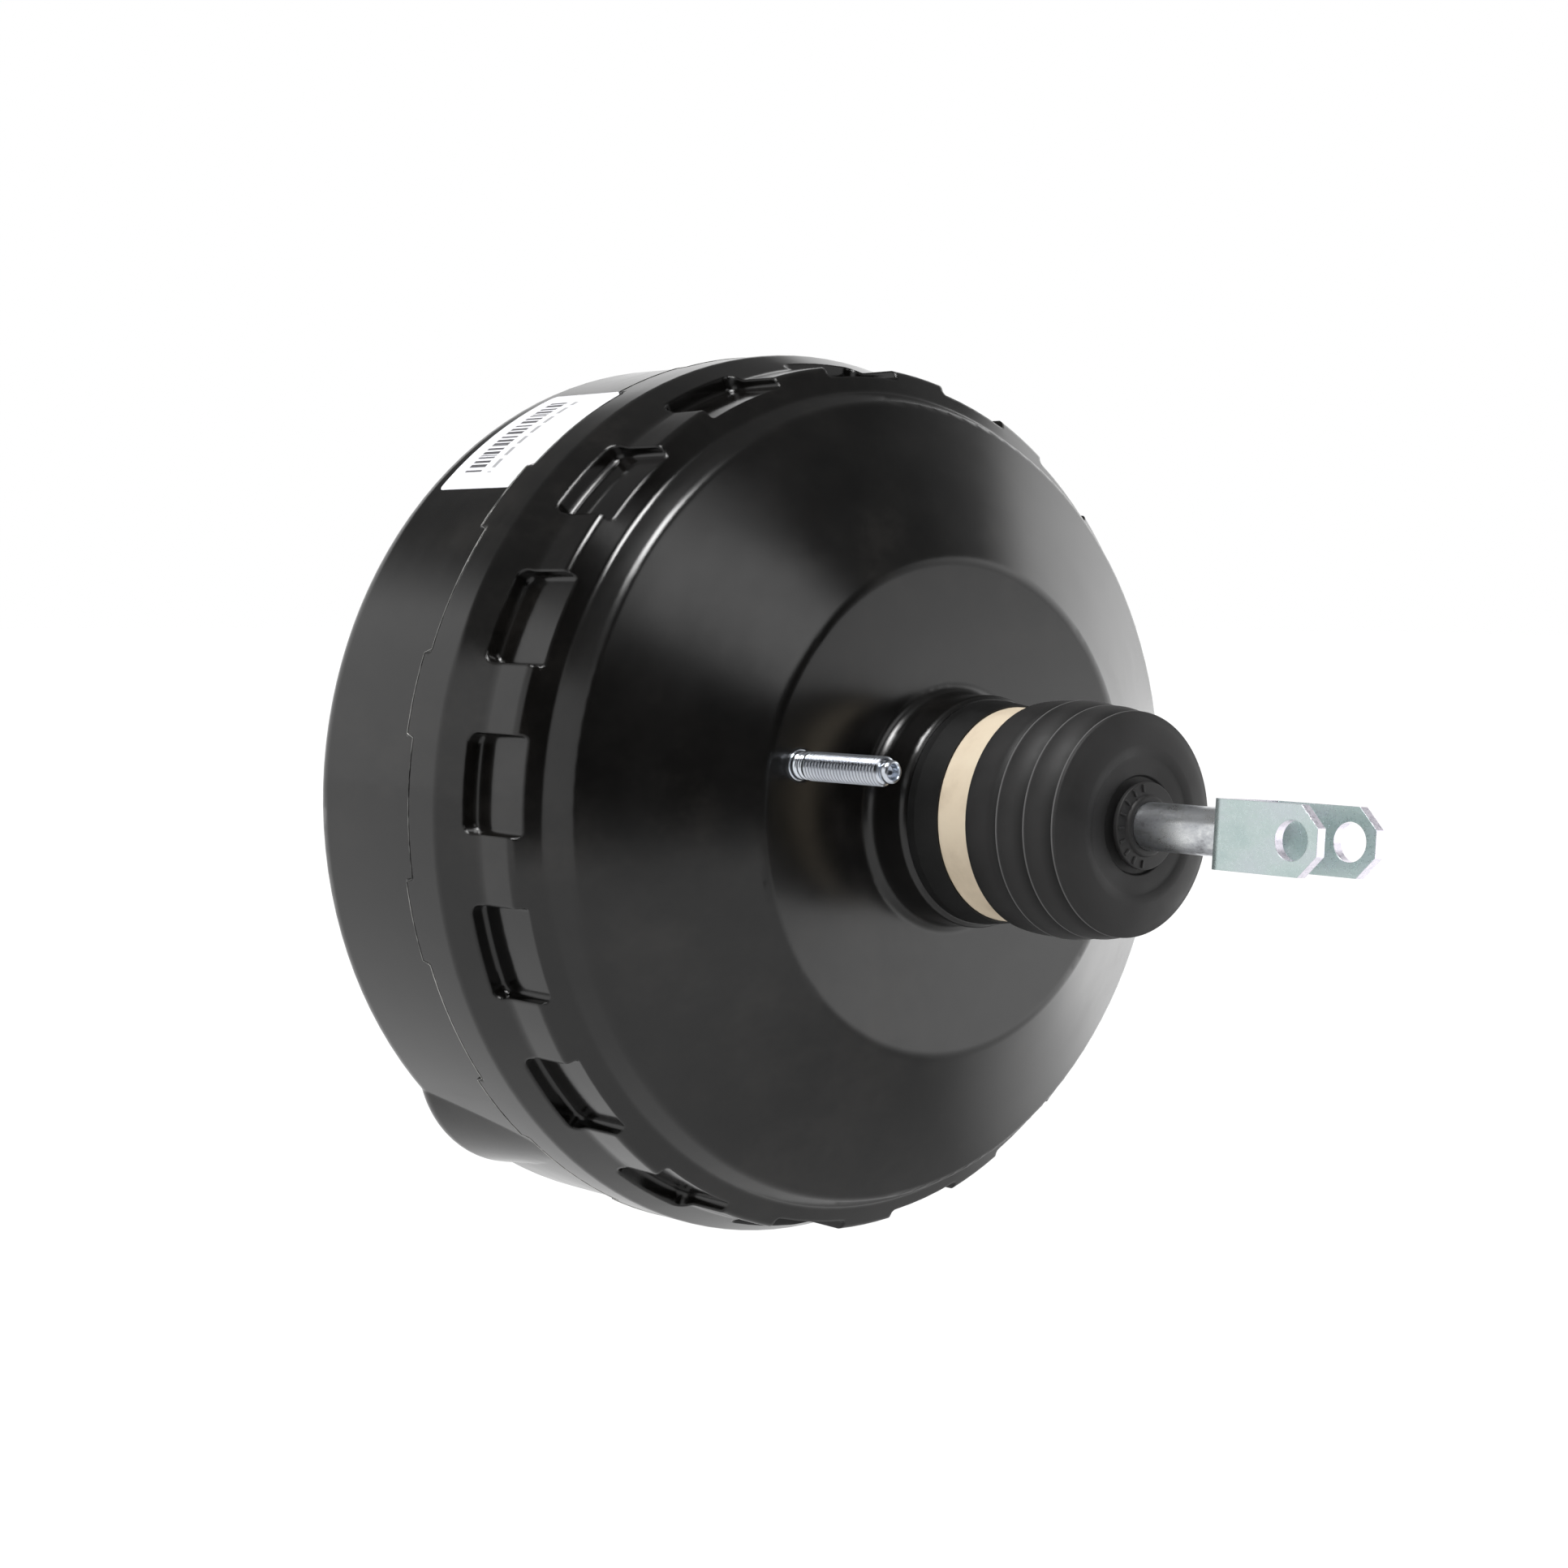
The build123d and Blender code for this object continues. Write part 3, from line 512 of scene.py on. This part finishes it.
def boot():
    """Bellows with a thick mouth, three folds and a domed end."""
    inner = 29.9
    line_width, shade_width = 0.65, 3.6
    line = [(inner, mouth, 0), (31.4, mouth, 0.5), (32.3, mouth - 5.5, 4.0)]
    for y, r in crests:
        line += [(r - 0.5, y + 1.5, 0.9), (r - 1.15, y + 0.5, 0.2), (r - 1.0, y + 0.05, 0.1),
                 (r - 0.03, y - 0.2, 0.1), (r - 0.04, y - 0.5, 0.05), (r - 0.1, y - 1.4, 0.5),
                 (r - 0.1, y - 5.2, 4.0)]
    # the last fold runs over into the domed end
    line[-1] = (29.5, -68.6, 2.2)
    line += [(25.0, boot_end + 0.5, 3.6), (20.0, boot_end, 1.5), (18.2, boot_end + 0.6, 1.0),
             (13.3, boot_end + 0.6, 0.3), (12.9, boot_end + 1.4, 0.2),
             (9.2, boot_end + 1.4, 0.1), (9.2, boot_end + 2.4, 0.2),
             (27.2, boot_end + 2.2, 3.4), (28.2, -63.5, 1.0), (inner, -61.5, 1.0)]
    shape = lathed(line, 128, True)
    # 1 marks the crests for a painted highlight, values down to -0.9 the valleys beside them
    # for painted shade
    crest = shape.verts.layers.float.new("crest")
    for vert in shape.verts:
        y, r = vert.co.y / mm, hypot(vert.co.x, vert.co.z) / mm
        for at, top in crests:
            if -line_width < y - at < 0.05 and r > top - 0.5:
                vert[crest] = 1.0
            elif -0.1 < y - at < shade_width:
                vert[crest] = -0.9 * (1 - max(y - at, 0) / shade_width)
    piece = finished(shape, "bellows_boot", boot_rubber, "power_piston")
    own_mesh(piece)
    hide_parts("boot")


boot()


def collar():
    """Rubber collar on the rod with plain moulded ticks round its face."""
    tick_count, first_tick, tick_step = 9, -100, -20
    front = boot_end - 0.4
    back = front - 1.8
    shape = lathed([(6.42, front, 0), (11.3, front, 0.2), (11.7, front - 0.5, 0.3),
                    (11.7, back, 0.4), (8.3, back, 0.2), (7.9, back - 0.9, 0.5),
                    (6.42, back - 0.9, 0.2)], 96, True)
    for i in range(tick_count):
        tick = bmesh.new()
        bmesh.ops.create_cube(tick, size=1)
        bmesh.ops.scale(tick, vec=Vector((2.1, 0.9, 0.65)) * mm, verts=tick.verts)
        bmesh.ops.bevel(tick, geom=tick.edges[:], offset=0.1 * mm, offset_type="OFFSET",
                        segments=2, profile=0.5, affect="EDGES", material=-1)
        bmesh.ops.translate(tick, vec=Vector((10.2, back, 0)) * mm, verts=tick.verts)
        turn = radians(first_tick + tick_step * i)
        joined(shape, tick, Matrix.Rotation(turn, 4, "Y"))
    piece = finished(shape, "rod_collar", boot_rubber, "pushrod")
    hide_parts("boot_collar")


collar()


# Label
shell_r = 129.4
bars_per_radian, groups_per_radian = 63.0, 23.0
print_angle, half_print_angle = 124.5, 8.5
bars_y, half_bars_y = 110, 4
rule_y, half_rule_y = 101.5, 0.9


def sticker_paper():
    """White paper with a band of plain printed bars and a broken line beside it."""
    made = Finish("sticker_paper", (0.84, 0.84, 0.86), 0.45)
    axes = made.axes()
    angle = made.sum("ARCTAN2", axes["Z"], axes["X"])
    stripe = made.sum("FRACT", made.sum("MULTIPLY", angle, bars_per_radian), 0)
    wide = made.sum("FRACT", made.sum("MULTIPLY", angle, groups_per_radian), 0)
    pattern = made.sum("ADD", stripe, made.sum("MULTIPLY", wide, 0.5))
    bar = made.sum("GREATER_THAN", pattern, 0.72)
    inside = made.near(angle, radians(print_angle), radians(half_print_angle))
    beside = made.near(axes["Y"], bars_y * mm, half_bars_y * mm)
    rule = made.near(axes["Y"], rule_y * mm, half_rule_y * mm)
    broken = made.sum("GREATER_THAN", wide, 0.3)
    rows = made.sum("MAXIMUM", made.sum("MULTIPLY", bar, beside),
                    made.sum("MULTIPLY", rule, made.sum("MULTIPLY", broken, 0.6)))
    print_share = made.sum("MULTIPLY", rows, inside)
    grain = made.noise(1800, 3)
    paper = made.tint(grain, (0.3, (0.80, 0.80, 0.83)), (0.7, (0.87, 0.87, 0.90)))
    ink = made.tint(grain, (0.3, (0.05, 0.05, 0.055)), (0.7, (0.13, 0.13, 0.14)))
    made.colour(made.blend(print_share, paper, ink))
    made.bump(grain, 0.00001, 0.3)
    return made.material


def label():
    """Paper sticker wrapped on the front shell, its near edge under the rim."""
    start, end = 76.0, 119.8
    low, high = 113.3, 136.0
    corner_r, thickness = 1.8, 0.06
    width = radians(high - low)
    shape = bmesh.new()
    across = [shape.verts.new((shell_r * mm, y * mm, 0)) for y in (start, end)]
    shape.edges.new(across)
    bmesh.ops.spin(shape, geom=shape.verts[:] + shape.edges[:], cent=(0, 0, 0),
                   axis=(0, 1, 0), angle=-width, steps=24)
    bmesh.ops.rotate(shape, cent=(0, 0, 0), matrix=Matrix.Rotation(radians(-low), 3, "Y"),
                     verts=shape.verts)
    corners = [vert for vert in shape.verts if len(vert.link_faces) == 1
               and vert.co.y > 0.1]
    bmesh.ops.bevel(shape, geom=corners, offset=corner_r * mm, offset_type="OFFSET",
                    segments=5, profile=0.5, affect="VERTICES", material=-1)
    bmesh.ops.recalc_face_normals(shape, faces=shape.faces)
    middle = Matrix.Rotation(radians(-(low + high) / 2), 3, "Y") @ Vector((1, 0, 0))
    if sum((face.normal.dot(middle) for face in shape.faces)) < 0:
        bmesh.ops.reverse_faces(shape, faces=shape.faces)
    bmesh.ops.solidify(shape, geom=shape.faces[:], thickness=-thickness * mm)
    finished(shape, "paper_label", sticker_paper(), "housing")


label()


# Springs
def working_spring(name, body):
    """A copy of a spring of the frame that rides on a body."""
    source = node[name]
    shape = bmesh.new()
    shape.from_mesh(source.data)
    bmesh.ops.transform(shape, matrix=source.matrix_world, verts=shape.verts)
    bmesh.ops.remove_doubles(shape, verts=shape.verts, dist=1e-6)
    piece = finished(shape, "working_" + name, spring_steel, body)
    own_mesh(piece)
    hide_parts(name)


working_spring("return_spring", "housing")
working_spring("rod_return_spring", "power_piston")
working_spring("check_valve_spring", "housing")


# Rim edge
def rim_edge():
    """Fine burr along the tabbed free edge of the rear shell, carrying a painted highlight."""
    tabs, tab_width, phase = 13, 10.5, 138.0
    tab_y, gap_y, rim_r = 81.8, 78.7, 131.0
    line = bpy.data.curves.new("rim_edge", "CURVE")
    line.dimensions = "3D"
    line.bevel_depth = 0.11 * mm
    line.bevel_resolution = 1
    spline = line.splines.new("POLY")
    count = 720
    spline.points.add(count - 1)
    spline.use_cyclic_u = True
    for i, point in enumerate(spline.points):
        angle = 360 / count * i
        off = abs((angle - phase + 180 / tabs) % (360 / tabs) - 180 / tabs)
        y = tab_y if off < tab_width / 2 else gap_y
        point.co = (rim_r * cos(radians(angle)) * mm, (y - 0.05) * mm,
                    rim_r * sin(radians(angle)) * mm, 1)
    wire = bpy.data.objects.new("rim_edge_line", line)
    bpy.context.scene.collection.objects.link(wire)
    mesh = bpy.data.meshes.new_from_object(wire)
    bpy.data.objects.remove(wire)
    shape = bmesh.new()
    shape.from_mesh(mesh)
    bpy.data.meshes.remove(mesh)
    finished(shape, "rim_edge", edge_highlight_steel(), "housing")


rim_edge()


# Studio
def smooth_step(tree, source, start, end, low, high):
    """Soft change from low to high while the source runs from start to end."""
    made = tree.nodes.new("ShaderNodeMapRange")
    made.interpolation_type = "SMOOTHSTEP"
    set_range(made, start, end, low, high)
    tree.links.new(source, made.inputs["Value"])
    return made.outputs["Result"]


def combined(tree, operation, first, second):
    """One step of arithmetic on two outputs."""
    made = tree.nodes.new("ShaderNodeMath")
    made.operation = operation
    tree.links.new(first, made.inputs[0])
    tree.links.new(second, made.inputs[1])
    return made.outputs["Value"]


def mixed(tree, share, first, second):
    """Mixes two values, each a number or an output, by a share."""
    made = tree.nodes.new("ShaderNodeMix")
    tree.links.new(share, made.inputs["Factor"])
    for key, term in (("A", first), ("B", second)):
        if isinstance(term, float):
            made.inputs[key].default_value = term
        else:
            tree.links.new(term, made.inputs[key])
    return made.outputs["Result"]


def vector_step(tree, operation, source, other=(0, 0, 0)):
    """Outputs of one step of vector arithmetic."""
    made = tree.nodes.new("ShaderNodeVectorMath")
    made.operation = operation
    made.inputs[1].default_value = other
    tree.links.new(source, made.inputs[0])
    return made.outputs


def towards(tree, direction, axis):
    """How far a direction lines up with an axis."""
    return vector_step(tree, "DOT_PRODUCT", direction, axis)["Value"]


dark_axis = (-0.12, -0.99, 0.10)
window_axis = (0.97, -0.05, 0.2)
sunny_axis = (0.97, -0.2, -0.1)
shade_centre = (0.1, -0.03, 0)
foot_offset, foot_stretch = (0, -0.074, 0), (0.45, 1, 1)
floor_half_size = 12


def room_light(tree, direction):
    """Brightness of the room's walls as the paint mirrors them."""
    dark_side = smooth_step(tree, towards(tree, direction, dark_axis),
                            0.62, 0.76, 1, 0.015)
    window = smooth_step(tree, towards(tree, direction, window_axis), 0.74, 0.90, 1, 1.9)
    return combined(tree, "MULTIPLY", dark_side, window)


def floor_paint():
    """Matt white with a glow that mirrors the room, with a painted shadow under the booster and
    a painted pool of light on the sunny side in reflections.
    """
    made = bpy.data.materials.new("white_floor")
    made.use_nodes = True
    tree = made.node_tree
    matt = tree.nodes["Principled BSDF"]
    matt.inputs["Base Color"].default_value = (0.86, 0.86, 0.86, 1)
    matt.inputs["Roughness"].default_value = 0.6
    place = tree.nodes.new("ShaderNodeTexCoord").outputs["Object"]
    path = tree.nodes.new("ShaderNodeLightPath").outputs
    direction = vector_step(tree, "NORMALIZE", place)["Vector"]
    reach = vector_step(tree, "LENGTH", place)["Value"]
    far = smooth_step(tree, reach, 0.5, 1.1, 0, 1)
    mirrored = mixed(tree, far, 1.0, room_light(tree, direction))
    # in reflections the glow is dimmed under the booster as a painted shadow, and raised on the
    # sunny side as a painted pool of light
    under = vector_step(tree, "DISTANCE", place, shade_centre)["Value"]
    near = smooth_step(tree, under, 0.10, 0.26, 0.36, 0.94)
    sunny = smooth_step(tree, towards(tree, direction, sunny_axis), 0.40, 0.80, 1, 2.4)
    pool = combined(tree, "MULTIPLY", near, sunny)
    reflected = combined(tree, "MULTIPLY", mirrored, pool)
    glow = tree.nodes.new("ShaderNodeEmission")
    tree.links.new(mixed(tree, path["Is Glossy Ray"], 1.12, reflected), glow.inputs["Strength"])
    foot = tree.nodes.new("ShaderNodeMapping")
    foot.inputs["Location"].default_value = foot_offset
    foot.inputs["Scale"].default_value = foot_stretch
    tree.links.new(place, foot.inputs["Vector"])
    away = vector_step(tree, "LENGTH", foot.outputs["Vector"])["Value"]
    share = smooth_step(tree, away, 0.005, 0.07, 0.45, 0.92)
    seen = combined(tree, "MAXIMUM", path["Is Camera Ray"], path["Is Glossy Ray"])
    mix = tree.nodes.new("ShaderNodeMixShader")
    tree.links.new(combined(tree, "MULTIPLY", seen, share), mix.inputs[0])
    tree.links.new(matt.outputs[0], mix.inputs[1])
    tree.links.new(glow.outputs[0], mix.inputs[2])
    tree.links.new(mix.outputs[0], tree.nodes["Material Output"].inputs["Surface"])
    return made


def floor():
    """White floor that glows to the camera and in reflections and keeps a shadow."""
    shape = bmesh.new()
    bmesh.ops.create_grid(shape, x_segments=1, y_segments=1, size=floor_half_size)
    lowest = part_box("rear_shell")[0].z
    bmesh.ops.translate(shape, vec=(0, 0, lowest - 0.2 * mm), verts=shape.verts)
    mesh = bpy.data.meshes.new("studio_floor")
    shape.to_mesh(mesh)
    shape.free()
    mesh.materials.append(floor_paint())
    made = bpy.data.objects.new("studio_floor", mesh)
    bpy.context.scene.collection.objects.link(made)


lamp_target = (0, 0.03, 0)


def lamp(name, place, size, power):
    """Rectangular softbox at a place, aimed at the booster."""
    light = bpy.data.lights.new(name, "AREA")
    light.shape = "RECTANGLE"
    light.size, light.size_y = size
    light.energy = power
    made = bpy.data.objects.new(name, light)
    made.location = place
    aim = Vector(lamp_target) - Vector(place)
    made.rotation_euler = aim.to_track_quat("-Z", "Y").to_euler()
    bpy.context.scene.collection.objects.link(made)
    return made


def surroundings():
    """White studio that the paint mirrors with a dark side behind the camera."""
    world = bpy.data.worlds.new("studio")
    bpy.context.scene.world = world
    world.use_nodes = True
    tree = world.node_tree
    back = tree.nodes["Background"]
    back.inputs["Color"].default_value = (1, 1, 1, 1)
    direction = tree.nodes.new("ShaderNodeTexCoord").outputs["Generated"]
    path = tree.nodes.new("ShaderNodeLightPath").outputs
    axes = tree.nodes.new("ShaderNodeSeparateXYZ")
    tree.links.new(direction, axes.inputs["Vector"])
    ceiling = smooth_step(tree, axes.outputs["Z"], 0.40, 0.54, 1, 0.15)
    room = combined(tree, "MULTIPLY", room_light(tree, direction), ceiling)
    behind = smooth_step(tree, towards(tree, direction, dark_axis), 0.45, 0.80, 0.64, 0.20)
    lit = mixed(tree, path["Is Glossy Ray"], behind, room)
    seen = mixed(tree, path["Is Camera Ray"], lit, 1.0)
    tree.links.new(seen, back.inputs["Strength"])


floor()
surroundings()
lamp("overhead_softbox", (-0.55, -0.2, 1.15), (0.55, 0.45), 12.5)
lamp("front_softbox", (-0.05, -1.35, 0.95), (0.75, 0.6), 3.2)
glint = lamp("overhead_glint", (-0.55, -0.2, 1.14), (0.5, 0.4), 7)
glint.visible_diffuse = False


def camera():
    """Camera at its fitted place and angle."""
    lens = bpy.data.cameras.new("studio_camera")
    lens.sensor_width = 36
    lens.lens = 65.37
    lens.clip_start = 0.05
    made = bpy.data.objects.new("studio_camera", lens)
    made.location = (-0.5605, -0.5767, 0.0605)
    made.rotation_euler = Euler((radians(86.171), radians(-0.349), radians(-40.755)))
    bpy.context.scene.collection.objects.link(made)
    bpy.context.scene.camera = made


camera()
bpy.context.scene.view_settings.view_transform = "Standard"
